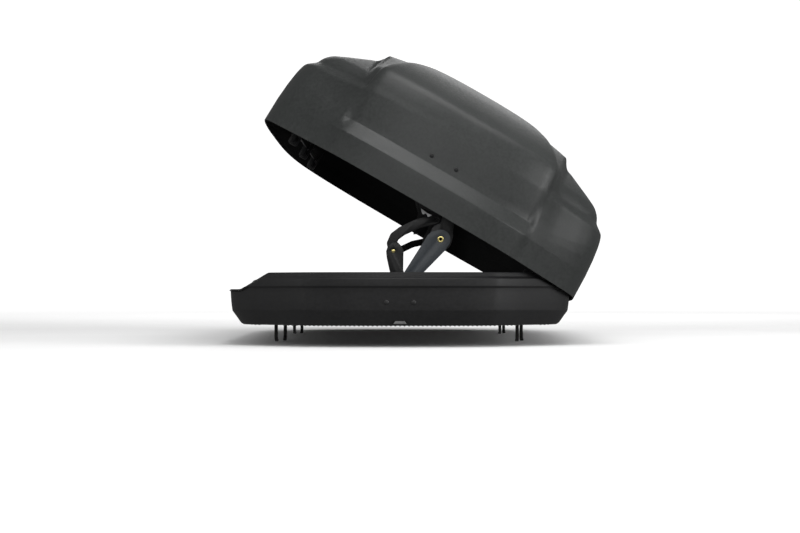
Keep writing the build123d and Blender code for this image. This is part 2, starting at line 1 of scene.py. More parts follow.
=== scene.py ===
"""A long roof box, its lid swung open on the hinge side.

The frame is in metres: x runs across the box, y along it from the tail (-y) to the nose
(+y), z up, with the base tray's underside at z = 0. The hinge runs along y on the +x side,
so the lid's -x side is lifted. Lengths are in millimetres unless a comment says otherwise.
"""
import json
import math
import random
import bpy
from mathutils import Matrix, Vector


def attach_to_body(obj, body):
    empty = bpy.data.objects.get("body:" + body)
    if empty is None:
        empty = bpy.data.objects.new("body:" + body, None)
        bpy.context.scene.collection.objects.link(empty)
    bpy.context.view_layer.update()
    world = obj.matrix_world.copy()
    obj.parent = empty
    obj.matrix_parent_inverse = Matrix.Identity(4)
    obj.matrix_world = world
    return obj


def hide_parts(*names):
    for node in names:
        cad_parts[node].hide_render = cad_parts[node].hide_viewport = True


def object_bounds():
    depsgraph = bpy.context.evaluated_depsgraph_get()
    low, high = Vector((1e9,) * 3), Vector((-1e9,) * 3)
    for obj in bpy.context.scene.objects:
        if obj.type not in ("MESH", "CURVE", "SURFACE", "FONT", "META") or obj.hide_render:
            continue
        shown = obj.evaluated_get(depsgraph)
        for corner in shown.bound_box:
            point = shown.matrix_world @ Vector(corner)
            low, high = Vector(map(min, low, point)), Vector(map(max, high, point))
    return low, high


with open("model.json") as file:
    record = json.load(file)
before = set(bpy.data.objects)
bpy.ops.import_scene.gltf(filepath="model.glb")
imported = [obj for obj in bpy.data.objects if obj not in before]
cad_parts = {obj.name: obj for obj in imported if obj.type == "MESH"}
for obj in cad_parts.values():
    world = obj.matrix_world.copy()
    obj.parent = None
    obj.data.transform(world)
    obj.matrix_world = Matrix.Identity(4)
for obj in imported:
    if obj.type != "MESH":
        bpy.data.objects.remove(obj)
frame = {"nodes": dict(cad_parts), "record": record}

from fnmatch import fnmatchcase

import bmesh
import bpy
from mathutils import Vector


def plain_box(bounds):
    return [[float(value) for value in corner] for corner in bounds]


CAD_BOX = plain_box(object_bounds())
random.seed(7)
MM = 0.001

# ------------------------------------------------------------------ placement
LID_OPEN = math.radians(30.05)
HINGE_X, HINGE_Z = 359.0, 92.4
RIM_Z = 83.0    # height of the closed lid's rim
COS_OPEN, SIN_OPEN = math.cos(LID_OPEN), math.sin(LID_OPEN)
# where the middle of the rim goes when the lid turns about the hinge
LID_X = HINGE_X - HINGE_X * COS_OPEN - (HINGE_Z - RIM_Z) * SIN_OPEN
LID_Z = HINGE_Z + HINGE_X * SIN_OPEN - (HINGE_Z - RIM_Z) * COS_OPEN


def lid_point(across, y, above):
    """Lid coordinates (across, along, above the rim) to the frame in metres."""
    return Vector(((LID_X + across * COS_OPEN + above * SIN_OPEN) * MM,
                   y * MM,
                   (LID_Z - across * SIN_OPEN + above * COS_OPEN) * MM))


def frame_point(x, y, z):
    return Vector((x * MM, y * MM, z * MM))


def smooth(start, end, value):
    """Smoothstep from 0 at start to 1 at end."""
    t = max(0.0, min(1.0, (value - start) / (end - start)))
    return t * t * (3 - 2 * t)


def lerp(start, end, t):
    return start + (end - start) * t


# ------------------------------------------------------------------ shader nodes
def set_inputs(tree, node, inputs):
    """Set each input socket to a value, or link it if the value is an output socket."""
    for socket, value in inputs.items():
        if isinstance(value, bpy.types.NodeSocket):
            tree.links.new(value, node.inputs[socket])
        else:
            node.inputs[socket].default_value = value


def add_node(tree, kind, inputs):
    node = tree.nodes.new("ShaderNode" + kind)
    set_inputs(tree, node, inputs)
    return node


def new_material(name):
    material = bpy.data.materials.new(name)
    material.use_nodes = True
    tree = material.node_tree
    tree.nodes.clear()
    output = tree.nodes.new("ShaderNodeOutputMaterial")
    shader = tree.nodes.new("ShaderNodeBsdfPrincipled")
    tree.links.new(shader.outputs[0], output.inputs[0])
    return material, tree, shader


def object_coords(tree):
    return add_node(tree, "TexCoord", {}).outputs["Object"]


def noise(tree, coords, scale, detail, roughness=0.55):
    node = add_node(tree, "TexNoise", {"Scale": scale, "Detail": detail,
                                       "Roughness": roughness, "Vector": coords})
    return node.outputs["Fac"]


def grey(level):
    return (level, level, level)


def ramp(tree, factor, *stops):
    """Two-stop colour ramp; each stop is (position, rgb)."""
    node = tree.nodes.new("ShaderNodeValToRGB")
    for element, (position, colour) in zip(node.color_ramp.elements, stops):
        element.position = position
        element.color = (*colour, 1)
    tree.links.new(factor, node.inputs[0])
    return node.outputs[0]


def mix(tree, factor, first, second, blend="MIX"):
    node = add_node(tree, "MixRGB", {0: factor, 1: first, 2: second})
    node.blend_type = blend
    return node.outputs[0]


def calculate(tree, operation, first, second):
    node = add_node(tree, "Math", {0: first, 1: second})
    node.operation = operation
    return node.outputs[0]


def mottle(tree, colour, variation, patches, patch_span, specks, speck_span):
    """Colour varied by broad patches and darkened or lightened by fine specks."""
    dark = tuple(c * (1 - variation) for c in colour)
    light = tuple(min(1, c * (1 + variation)) for c in colour)
    base = ramp(tree, patches, (patch_span[0], dark), (patch_span[1], light))
    speck = ramp(tree, specks, (speck_span[0], grey(0.86)), (speck_span[1], grey(1.1)))
    return mix(tree, 1.0, base, speck, blend="MULTIPLY")


def edge_mask(tree, *stops):
    geometry = add_node(tree, "NewGeometry", {})
    return ramp(tree, geometry.outputs["Pointiness"], *stops)


def brightened(colour, gain, lift):
    return tuple(min(1, c * gain + lift) for c in colour) + (1,)


def add_bump(tree, shader, height, strength, distance):
    bump = add_node(tree, "Bump", {"Strength": strength, "Distance": distance,
                                   "Height": height})
    tree.links.new(bump.outputs[0], shader.inputs["Normal"])


# ------------------------------------------------------------------ materials
def plastic(name, colour, roughness, grain, wear, grain_height=0.00012, variation=0.16,
            specular=0.5):
    """Moulded plastic: mottled colour, pebble grain and rubbed edges.

    grain is the pebble texture's scale, grain_height its depth in metres.
    """
    material, tree, shader = new_material(name)
    coords = object_coords(tree)
    patches = noise(tree, coords, scale=5.0, detail=3.0)
    specks = noise(tree, coords, scale=160.0, detail=5.0)
    mottled = mottle(tree, colour, variation, patches, (0.3, 0.7), specks, (0.35, 0.65))

    edges = edge_mask(tree, (0.505, grey(0)), (0.56, grey(1)))
    scratches = ramp(tree, noise(tree, coords, scale=60.0, detail=6.0, roughness=0.7),
                     (0.5, grey(0)), (0.72, grey(1)))
    worn = calculate(tree, "MULTIPLY", edges, scratches)
    wear_amount = calculate(tree, "MULTIPLY", worn, wear)
    worn_colour = brightened(colour, gain=3, lift=0.02)

    pebbles = add_node(tree, "TexVoronoi", {"Scale": grain, "Vector": coords})
    ripple = noise(tree, coords, scale=grain * 0.4, detail=2.0)
    grain_relief = calculate(tree, "ADD", pebbles.outputs["Distance"], ripple)
    set_inputs(tree, shader, {
        "Base Color": mix(tree, wear_amount, mottled, worn_colour),
        "Roughness": ramp(tree, specks, (0.3, grey(roughness - 0.07)),
                          (0.7, grey(roughness + 0.07))),
        "Specular IOR Level": specular,
    })
    add_bump(tree, shader, grain_relief, strength=0.45, distance=grain_height)
    return material


def metal(name, colour, roughness, metallic=1.0, streak=(1.0, 1.0, 1.0), variation=0.18,
          spangle=None, bump_height=0.00006, coat=0.0):
    """Brushed, plated or painted metal with streaks, blotches and worn edges.

    streak scales the fine noise per axis, spangle is how strongly the crystal cells show
    and bump_height is in metres.
    """
    material, tree, shader = new_material(name)
    coords = object_coords(tree)
    mapping = add_node(tree, "Mapping", {"Scale": streak, "Vector": coords})
    streaks = noise(tree, mapping.outputs[0], scale=220.0, detail=5.0, roughness=0.6)
    patches = noise(tree, coords, scale=26.0, detail=4.0)
    surface = mottle(tree, colour, variation, patches, (0.32, 0.68), streaks, (0.3, 0.7))
    if spangle is not None:
        cells = add_node(tree, "TexVoronoi", {"Scale": 90.0, "Vector": coords})
        spangled = mix(tree, spangle, surface, cells.outputs["Color"])
        washed = add_node(tree, "HueSaturation", {"Saturation": 0.05, "Value": 0.9,
                                                  "Color": spangled})
        surface = washed.outputs[0]
    edges = edge_mask(tree, (0.51, grey(0)), (0.58, grey(0.5)))
    edge_colour = brightened(colour, gain=2.0, lift=0.03 if metallic else 0.01)
    set_inputs(tree, shader, {
        "Base Color": mix(tree, edges, surface, edge_colour),
        "Roughness": ramp(tree, streaks, (0.3, grey(max(0.04, roughness - 0.08))),
                          (0.7, grey(roughness + 0.08))),
        "Metallic": metallic,
    })
    if not metallic:
        shader.inputs["Specular IOR Level"].default_value = 0.32
    if coat:
        set_inputs(tree, shader, {"Coat Weight": coat, "Coat Roughness": 0.3})
    add_bump(tree, shader, streaks, strength=0.35, distance=bump_height)
    return material


MATERIALS = {
    "lid": plastic("lid_grained_plastic", (0.027, 0.0292, 0.0284), roughness=0.46,
                   grain=1500, wear=0.10, specular=0.34),
    # painted shade: the lid's inner faces and rim take a much darker copy of the lid plastic,
    # standing in for the shade inside the lid
    "lid_inside_painted_shade": plastic("lid_inner_painted_shade_black", (0.0045, 0.0045, 0.0047), roughness=0.72,
                          grain=900, grain_height=0.0002, wear=0.05, specular=0.25),
    "base": plastic("base_grained_plastic", (0.0175, 0.0175, 0.0180), roughness=0.5,
                    grain=1300, grain_height=0.00016, wear=0.16, specular=0.24),
    "base_inside": plastic("base_inner_plastic", (0.016, 0.016, 0.0165), roughness=0.62,
                           grain=1000, grain_height=0.0002, wear=0.1, specular=0.35),
    "galvanised": metal("galvanised_steel", (0.40, 0.41, 0.42), roughness=0.42,
                        streak=(1, 0.08, 1), spangle=0.35),
    "black_steel": metal("black_coated_steel", (0.0045, 0.0046, 0.005), roughness=0.4,
                         metallic=0.0, variation=0.25, bump_height=0.00012),
    "hook": metal("zinc_bracket_steel", (0.36, 0.37, 0.38), roughness=0.5, metallic=0.75,
                  spangle=0.2),
    "nylon": plastic("dark_grey_nylon", (0.010, 0.010, 0.0105), roughness=0.45, grain=700,
                     variation=0.08, wear=0.0),
    # painted highlight colour for the tail step's sloping face
    "painted_highlight_plastic": plastic("painted_highlight_grey_plastic", (0.16, 0.16, 0.16), roughness=0.5,
                            grain=900, wear=0.1),
    "zinc": metal("zinc_plated_fastener", (0.52, 0.53, 0.55), roughness=0.3,
                  streak=(1, 1, 0.2)),
    "gold": metal("yellow_passivated_rivet", (0.62, 0.50, 0.20), roughness=0.24,
                  streak=(1, 0.3, 1)),
    "grey_arm": metal("slate_grey_coated_arm", (0.033, 0.0385, 0.0445), roughness=0.45,
                      metallic=0.0, variation=0.12, bump_height=0.00014, coat=0.15),
    "dark_arm": metal("charcoal_coated_arm", (0.0125, 0.0125, 0.0130), roughness=0.4,
                      metallic=0.0, variation=0.2, bump_height=0.00012),
    "lock": metal("satin_nickel_lock", (0.46, 0.46, 0.47), roughness=0.28),
    "black_plastic": plastic("black_moulded_plastic", (0.012, 0.012, 0.0126),
                             roughness=0.5, grain=1100, wear=0.12),
    "handle": plastic("handle_fine_grain", (0.030, 0.0312, 0.0318), roughness=0.42,
                      grain=1700, wear=0.3),
    "knob": plastic("knob_ribbed_plastic", (0.017, 0.017, 0.018), roughness=0.48,
                    grain=1200, wear=0.3),
    "jaw": plastic("jaw_rubber_coating", (0.009, 0.009, 0.0092), roughness=0.66,
                   grain=600, grain_height=0.0003, wear=0.2, specular=0.3),
}


# ---------------------------------------------------------------- mesh helpers
def add_object(name, data):
    piece = bpy.data.objects.new(name, data)
    bpy.context.scene.collection.objects.link(piece)
    return piece


def new_piece(name, verts, faces, materials, smooth_angle=35.0):
    mesh = bpy.data.meshes.new(name)
    mesh.from_pydata([tuple(v) for v in verts], [], faces)
    mesh.validate()
    for material in materials:
        mesh.materials.append(material)
    piece = add_object(name, mesh)
    fix_normals(piece)
    shade(piece, smooth_angle)
    return piece


def fix_normals(piece):
    bm = bmesh.new()
    bm.from_mesh(piece.data)
    bmesh.ops.recalc_face_normals(bm, faces=bm.faces)
    bm.to_mesh(piece.data)
    bm.free()


def shade(piece, angle):
    """Smooth shading, with edges over the angle (degrees) sharp; 180 leaves none sharp."""
    mesh = piece.data
    for face in mesh.polygons:
        face.use_smooth = True
    if angle >= 180:
        return
    bm = bmesh.new()
    bm.from_mesh(mesh)
    limit = math.radians(angle)
    for edge in bm.edges:
        edge.smooth = not (len(edge.link_faces) == 2 and edge.calc_face_angle(0.0) > limit)
    bm.to_mesh(mesh)
    bm.free()


def apply_modifiers(piece):
    bpy.context.view_layer.update()
    depsgraph = bpy.context.evaluated_depsgraph_get()
    mesh = bpy.data.meshes.new_from_object(piece.evaluated_get(depsgraph))
    old = piece.data
    piece.modifiers.clear()
    piece.data = mesh
    bpy.data.meshes.remove(old)


def bevel(piece, width):
    """Roll the edges; width in metres."""
    modifier = piece.modifiers.new("bevel", "BEVEL")
    modifier.width = width
    modifier.segments = 2
    modifier.limit_method = "ANGLE"
    modifier.angle_limit = math.radians(32.0)
    modifier.use_clamp_overlap = True
    apply_modifiers(piece)


def thicken(piece, thickness, rim_slot):
    """Give a skin a wall inwards (thickness in metres); the inside takes slot 1."""
    modifier = piece.modifiers.new("thicken", "SOLIDIFY")
    modifier.thickness = thickness
    modifier.offset = -1.0
    modifier.use_even_offset = True
    modifier.use_quality_normals = True
    modifier.material_offset = 1
    modifier.material_offset_rim = rim_slot
    apply_modifiers(piece)


def box_corners(place, x_ends, y_ends, z_ends):
    (x0, x1), (y0, y1) = x_ends, y_ends
    return [place(x, y, z) for z in z_ends
            for x, y in ((x0, y0), (x1, y0), (x1, y1), (x0, y1))]


def cut(piece, boxes):
    """Cut boxes, each given by 8 corners, out of a closed mesh."""
    faces = [(0, 1, 2, 3), (7, 6, 5, 4), (0, 4, 5, 1), (1, 5, 6, 2), (2, 6, 7, 3), (3, 7, 4, 0)]
    for corners in boxes:
        mesh = bpy.data.meshes.new("cutter")
        mesh.from_pydata([tuple(c) for c in corners], [], faces)
        cutter = add_object("cutter", mesh)
        fix_normals(cutter)
        modifier = piece.modifiers.new("cut", "BOOLEAN")
        modifier.operation = "DIFFERENCE"
        modifier.object = cutter
        modifier.solver = "EXACT"
        apply_modifiers(piece)
        bpy.data.objects.remove(cutter)
        bpy.data.meshes.remove(mesh)


def loft(verts, faces, sections):
    """Append a closed loft through loops of equally many points."""
    count = len(sections[0])
    first = len(verts)
    last = first + (len(sections) - 1) * count
    for section in sections:
        verts.extend(section)
    for start in range(first, last, count):
        for a in range(count):
            b = (a + 1) % count
            faces.append((start + a, start + b, start + count + b, start + count + a))
    faces.append(tuple(range(first, first + count))[::-1])
    faces.append(tuple(range(last, last + count)))


def attach(piece, body, node=None):
    """Tie a piece to its moving body, hiding the CAD node it replaces."""
    if node:
        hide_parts(node)
    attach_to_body(piece, body)


# ------------------------------------------------------------------ rim outline
# half outline of the rim: (half width, distance from the tail)
RIM = [
    (0, 0), (60, 0.6), (115, 5), (165, 14.5), (203, 26.5), (219, 33), (232, 42.5),
    (262, 68), (298, 101), (333, 134), (361, 160.5), (386, 189), (400, 219), (408, 262),
    (413, 320), (420, 420), (430, 670), (434, 900), (437, 1150), (437, 1400),
    (430, 1600), (418, 1730), (402, 1815), (380, 1885), (350, 1940), (305, 1990),
    (245, 2030), (170, 2058), (85, 2075), (0, 2080),
]
HALF_WIDTH = max(x for x, _ in RIM)
HALF_LENGTH = RIM[-1][1] / 2
SPLINE_STEPS = 12    # spline points per span of the table
RIM_STEPS = 330    # columns round half the rim


def tangent(before, after, span):
    reach = math.dist(before, after)
    return [(b - a) * span / reach for a, b in zip(before, after)]


def spline(points):
    """Smooth curve through the points, mirrored about x = 0 at both ends."""
    mirrored_start = (-points[1][0], points[1][1])
    mirrored_end = (-points[-2][0], points[-2][1])
    padded = [mirrored_start, *points, mirrored_end]
    curve = []
    for before, start, end, after in zip(padded, padded[1:], padded[2:], padded[3:]):
        span = math.dist(start, end)
        leave = tangent(before, end, span)
        arrive = tangent(start, after, span)
        for k in range(SPLINE_STEPS):
            t = k / SPLINE_STEPS
            start_weight = 2 * t ** 3 - 3 * t * t + 1
            leave_weight = t ** 3 - 2 * t * t + t
            end_weight = -2 * t ** 3 + 3 * t * t
            arrive_weight = t ** 3 - t * t
            curve.append(tuple(start_weight * start[j] + leave_weight * leave[j]
                               + end_weight * end[j] + arrive_weight * arrive[j]
                               for j in (0, 1)))
    curve.append(points[-1])
    return curve


def space_evenly(points, steps):
    """steps + 1 evenly spaced (x, distance, arc length) along a polyline, and its length."""
    lengths = [0.0]
    for a, b in zip(points[:-1], points[1:]):
        lengths.append(lengths[-1] + math.dist(a, b))
    total = lengths[-1]
    spaced = []
    j = 0
    for i in range(steps + 1):
        arc = total * i / steps
        while j < len(lengths) - 2 and lengths[j + 1] < arc:
            j += 1
        t = (arc - lengths[j]) / (lengths[j + 1] - lengths[j])
        (x0, y0), (x1, y1) = points[j], points[j + 1]
        spaced.append((lerp(x0, x1, t), lerp(y0, y1, t), arc))
    return spaced, total


HALF_RIM, RIM_ARC = space_evenly(spline(RIM), RIM_STEPS)
ACROSS, ALONG = 0, 1


def arc_past(axis, limit):
    """Arc length at which the half rim, followed from the tail, first passes a limit."""
    return next(point[2] for point in HALF_RIM if point[axis] > limit)


# the tail wall gives way to the corner profile
ARC_LEDGE = arc_past(ACROSS, 230)
ARC_UPPER = arc_past(ACROSS, 236)
# the tail's spokes ease out of their inward curve
ARC_EASE_START = arc_past(ACROSS, 150)
ARC_EASE_END = arc_past(ACROSS, 305)
# tail, tail corner, side, nose shoulder and nose front meet at these
ARC_TAIL_END = arc_past(ACROSS, 232)
ARC_SIDE_START = arc_past(ALONG, 300)
ARC_SIDE_END = arc_past(ALONG, 1640)
ARC_NOSE_START = arc_past(ALONG, 2000)

# long thin core loop in the middle of the plan, where the columns end
CORE_END_HALF, CORE_SIDE_HALF = 56, 59
CORE_TAIL_Y, CORE_SIDE_TAIL_Y, CORE_SIDE_NOSE_Y, CORE_NOSE_Y = -640, -595, 330, 380
CORE_CAP = 26    # how far the rounded ends stand out


def core(arc):
    """Point of the core loop that matches an arc length on the rim."""
    if arc <= ARC_TAIL_END:
        angle = arc / ARC_TAIL_END * math.pi / 2
        return CORE_END_HALF * math.sin(angle), CORE_TAIL_Y - CORE_CAP * math.cos(angle)
    if arc <= ARC_SIDE_START:
        t = (arc - ARC_TAIL_END) / (ARC_SIDE_START - ARC_TAIL_END)
        return (lerp(CORE_END_HALF, CORE_SIDE_HALF, t),
                lerp(CORE_TAIL_Y, CORE_SIDE_TAIL_Y, t))
    if arc <= ARC_SIDE_END:
        t = (arc - ARC_SIDE_START) / (ARC_SIDE_END - ARC_SIDE_START)
        return CORE_SIDE_HALF, lerp(CORE_SIDE_TAIL_Y, CORE_SIDE_NOSE_Y, t)
    if arc <= ARC_NOSE_START:
        t = (arc - ARC_SIDE_END) / (ARC_NOSE_START - ARC_SIDE_END)
        return (lerp(CORE_SIDE_HALF, CORE_END_HALF, t),
                lerp(CORE_SIDE_NOSE_Y, CORE_NOSE_Y, t))
    angle = (arc - ARC_NOSE_START) / (RIM_ARC - ARC_NOSE_START) * math.pi / 2
    return CORE_END_HALF * math.cos(angle), CORE_NOSE_Y + CORE_CAP * math.sin(angle)


def spoke(x, distance, arc):
    """Rim point, core point and the length between them."""
    rim_y = distance - HALF_LENGTH
    core_x, core_y = core(arc)
    return (x, rim_y), (core_x, core_y), math.hypot(x - core_x, rim_y - core_y)


def zone_weights(arc, nose_lead):
    """Shares of tail, nose and side profile; the nose starts nose_lead before the side ends."""
    tail = 1 - smooth(ARC_TAIL_END - 12, ARC_SIDE_START, arc)
    nose = smooth(ARC_SIDE_END - nose_lead, ARC_NOSE_START, arc)
    return tail, nose, max(0.0, 1 - tail - nose)


def blend_key(weights, tail, nose, side):
    tail_share, nose_share, side_share = weights
    return [tail_share * t + nose_share * n + side_share * s
            for t, n, s in zip(tail, nose, side)]


def toward(start, end, distance):
    length = math.dist(start, end)
    return tuple(a + (b - a) / length * distance for a, b in zip(start, end))


def straight(start, end, steps):
    """Points after start up to end."""
    return [(lerp(start[0], end[0], k / steps), lerp(start[1], end[1], k / steps))
            for k in range(1, steps + 1)]


def round_profile(keys, radii, steps):
    """Profile through the keys with rounded corners and fixed steps per straight."""
    points = [keys[0]]
    start = keys[0]
    for before, corner, after, radius, count in zip(keys, keys[1:], keys[2:], radii[1:],
                                                    steps):
        radius = min(radius, math.dist(before, corner) * 0.45,
                     math.dist(corner, after) * 0.45)
        arc_start = toward(corner, before, radius)
        arc_end = toward(corner, after, radius)
        points += straight(start, arc_start, count)
        for t in (0.33, 0.67, 1.0):
            points.append(tuple((1 - t) ** 2 * a + 2 * t * (1 - t) * b + t * t * c
                                for a, b, c in zip(arc_start, corner, arc_end)))
        start = arc_end
    return points + straight(start, keys[-1], steps[-1])


def wrap_columns(columns, place):
    """Skin from half the plan's columns and their mirror images.

    Also returns the columns' core ends: at the tail, on the right (+x), on the left and
    at the nose.
    """
    half = len(columns) - 1
    size = len(columns[0])
    loop = [(c, 1) for c in columns] + [(c, -1) for c in columns[-2:0:-1]]
    verts = [place(side * x, y, z) for column, side in loop for x, y, z in column]
    faces = []
    total = len(loop)
    for i in range(total):
        j = (i + 1) % total
        for k in range(size - 1):
            faces.append((i * size + k, j * size + k, j * size + k + 1, i * size + k + 1))
    ends = [i * size + size - 1 for i in range(total)]
    right = ends[1:half]
    left = [ends[total - i] for i in range(1, half)]
    return verts, faces, ends[0], right, left, ends[half]


# ------------------------------------------------------------------ lid
# profiles from rim to core: (inset from the rim, height above the rim)
LID_SIDE = [
    (0, 0), (1.5, 57), (5, 98), (9, 125), (11, 136), (14, 147), (18, 157.5), (41, 174),
    (49, 190), (64, 204), (98, 220), (130, 234), (158, 248), (200, 260), (262, 274),
    (378, 290),
]
LID_TAIL = [
    (0, 0), (2.5, 56), (17, 72), (31, 87), (34, 100), (37.5, 132), (42, 164), (45, 173),
    (52, 186), (68, 204), (101, 224), (141, 242), (188, 259), (256, 275.5),
    (330, 286.5), (390, 290),
]
LID_CORNER = [
    (0, 0), (8, 55), (14.5, 72), (20.5, 86), (27, 101), (37, 131), (44, 161), (55, 171),
    (63, 189), (78, 203), (108, 218), (142, 232), (188, 248), (250, 262), (325, 276),
    (390, 290),
]
LID_NOSE = [
    (0, 0), (5, 50), (13, 72), (22, 90), (30, 100), (42, 114), (58, 130), (84, 150),
    (108, 164), (150, 184), (200, 204), (265, 224), (340, 245), (440, 264), (545, 279),
    (640, 290),
]
# corner radius at each key, and steps along each straight between keys
LID_RADII = [0, 2, 2.5, 1.5, 5, 10, 5, 5, 10, 22, 22, 20, 30, 40, 34, 0]
LID_STEPS = [5, 4, 3, 2, 3, 2, 3, 3, 3, 4, 4, 4, 5, 6, 7]
LEDGE_KEYS = 6      # keys below the upper wall
WALL_INSET = 60     # keys nearer the rim than this keep their inset
CROWN_HEIGHT = 310.6    # middle line of the lid's top
PANEL_HALF, PANEL_EDGE, PANEL_RISE = 251.0, 17.0, 20.0    # raised centre panel
PANEL_TAIL_START, PANEL_NOSE_START, PANEL_BLEND = 171, 150, 34    # heights it rises over
LID_WALL = 0.0042    # metres
# openings through the lid's side walls
LID_OPENING_X, LID_OPENING_HALF_LENGTH, LID_OPENING_Z = (410, 446), 71.6, (70.4, 101.6)


def panel_rise(x, y, height):
    """Height added by the raised centre panel."""
    inside = smooth(0.0, 1.0, (PANEL_HALF - abs(x)) / PANEL_EDGE)
    start = PANEL_TAIL_START if y < 0 else PANEL_NOSE_START
    return PANEL_RISE * inside * smooth(start, start + PANEL_BLEND, height)


def lid_column(x, distance, arc):
    weights = zone_weights(arc, nose_lead=330)
    (rim_x, rim_y), (core_x, core_y), length = spoke(x, distance, arc)
    ledge_share = smooth(ARC_LEDGE, ARC_LEDGE + 18, arc)
    upper_share = smooth(ARC_UPPER, ARC_UPPER + 14, arc)
    keys = []
    for k, (tail, corner, nose, side) in enumerate(zip(LID_TAIL, LID_CORNER, LID_NOSE,
                                                       LID_SIDE)):
        share = ledge_share if k < LEDGE_KEYS else upper_share
        tail = [lerp(a, b, share) for a, b in zip(tail, corner)]
        keys.append(blend_key(weights, tail, nose, side))
    # fit the insets to this column's own length, leaving the wall part true
    last = keys[-1][0]
    for key in keys:
        fit = smooth(WALL_INSET, last, key[0])
        key[0] = lerp(key[0], key[0] / last * length, fit)
    keys[-1][0] = length

    tail_share, nose_share, _ = weights
    tail_bend = tail_share * (1 - smooth(ARC_EASE_START, ARC_EASE_END, arc))
    power = 1 + 0.8 * (tail_bend + nose_share)    # above 1 bends the spoke in plan
    column = []
    for inset, height in round_profile(keys, LID_RADII, LID_STEPS):
        t = inset / length
        x, y = lerp(rim_x, core_x, t ** power), lerp(rim_y, core_y, t)
        column.append((x, y, height + panel_rise(x, y, height)))
    return column


def build_lid():
    columns = [lid_column(*point) for point in HALF_RIM]
    verts, faces, tail, right, left, nose = wrap_columns(columns, lid_point)
    # close the strip down the middle over a crown line
    middle = []
    for column in columns[1:-1]:
        middle.append(len(verts))
        verts.append(lid_point(0, column[-1][1], CROWN_HEIGHT))
    faces.append((tail, right[0], middle[0]))
    faces.append((tail, middle[0], left[0]))
    for a in range(len(middle) - 1):
        faces.append((right[a], right[a + 1], middle[a + 1], middle[a]))
        faces.append((middle[a], middle[a + 1], left[a + 1], left[a]))
    faces.append((right[-1], nose, middle[-1]))
    faces.append((middle[-1], nose, left[-1]))
    # the inside and rim (slot 1) take the darker material, painted shade for the lid's interior
    skin = new_piece("lid_skin", verts, faces, [MATERIALS["lid"], MATERIALS["lid_inside_painted_shade"]],
                     smooth_angle=180)
    thicken(skin, LID_WALL, rim_slot=1)
    y_ends = (-LID_OPENING_HALF_LENGTH, LID_OPENING_HALF_LENGTH)
    cut(skin, [box_corners(lid_point, [side * x for x in LID_OPENING_X], y_ends,
                           LID_OPENING_Z)
               for side in (-1, 1)])
    shade(skin, 50)
    attach(skin, "lid", node="lid_shell")


# ------------------------------------------------------------------ base
# profiles from the lip down and under: (inset from the rim outline, height)
BASE_SIDE = [
    (30, 112), (28, 116.5), (24.5, 117), (23, 107), (20.5, 104.5), (19.5, 102),
    (19.5, 86), (22, 82.5), (22.5, 68), (24, 48), (26.5, 31), (48, 3.2), (54, 0),
]
BASE_TAIL = [
    (27, 112), (25, 116.5), (21, 117), (18.5, 107), (12.5, 104.5), (11, 102),
    (11, 86.5), (16.5, 82.5), (17.5, 68), (19, 50), (21.5, 33.5), (44, 3.2), (50, 0),
]
BASE_NOSE = [
    (33, 112), (31, 116.5), (27, 117), (24.5, 107), (18, 104.5), (16, 102),
    (16, 86), (23, 82.5), (25, 68), (29, 50), (35, 33), (68, 4), (76, 0),
]
BASE_RADII = [0, 1, 1.2, 1.2, 0.9, 0.9, 0.9, 0.9, 4, 6, 1.6, 3.5, 0]
BASE_STEPS = [1, 1, 2, 1, 1, 2, 1, 1, 2, 2, 4, 1]
FLOOR_STEPS = 8    # from the foot of the wall to the core
LIP_END_Z, LIP_SIDE_Z = 117.5, 80.0    # lip height at the ends and along the sides
LIP_SLOPE_X, LIP_SLOPE_RUN = 292, 66.0    # where the lip slopes between them
LIP_DEPTH = 5.0    # top part of the lip that moves down whole
BASE_WALL = 0.0038    # metres
# openings through the floor
FLOOR_OPENING_X, FLOOR_OPENING_YS = 290, (-500, 300)
FLOOR_OPENING_HALF_WIDTH, FLOOR_OPENING_HALF_LENGTH = 20, 72


def lip_height(x, height):
    """Squeeze the height under a lip that is lower along the sides."""
    slope = max(0.0, min(1.0, (abs(x) - LIP_SLOPE_X) / LIP_SLOPE_RUN))
    low = LIP_END_Z - (LIP_END_Z - LIP_SIDE_Z) * slope - LIP_DEPTH
    if height < low:
        return height
    return low + (height - low) * LIP_DEPTH / (LIP_END_Z - low)


def base_column(x, distance, arc):
    weights = zone_weights(arc, nose_lead=200)
    (rim_x, rim_y), (core_x, core_y), length = spoke(x, distance, arc)
    keys = [blend_key(weights, *stations)
            for stations in zip(BASE_TAIL, BASE_NOSE, BASE_SIDE)]
    column = []
    for inset, height in round_profile(keys, BASE_RADII, BASE_STEPS):
        t = inset / length
        x = lerp(rim_x, core_x, t)
        column.append((x, lerp(rim_y, core_y, t), lip_height(x, height)))
    foot = keys[-1][0]
    for k in range(1, FLOOR_STEPS + 1):
        t = lerp(foot, length, k / FLOOR_STEPS) / length
        column.append((lerp(rim_x, core_x, t), lerp(rim_y, core_y, t), 0.0))
    return column


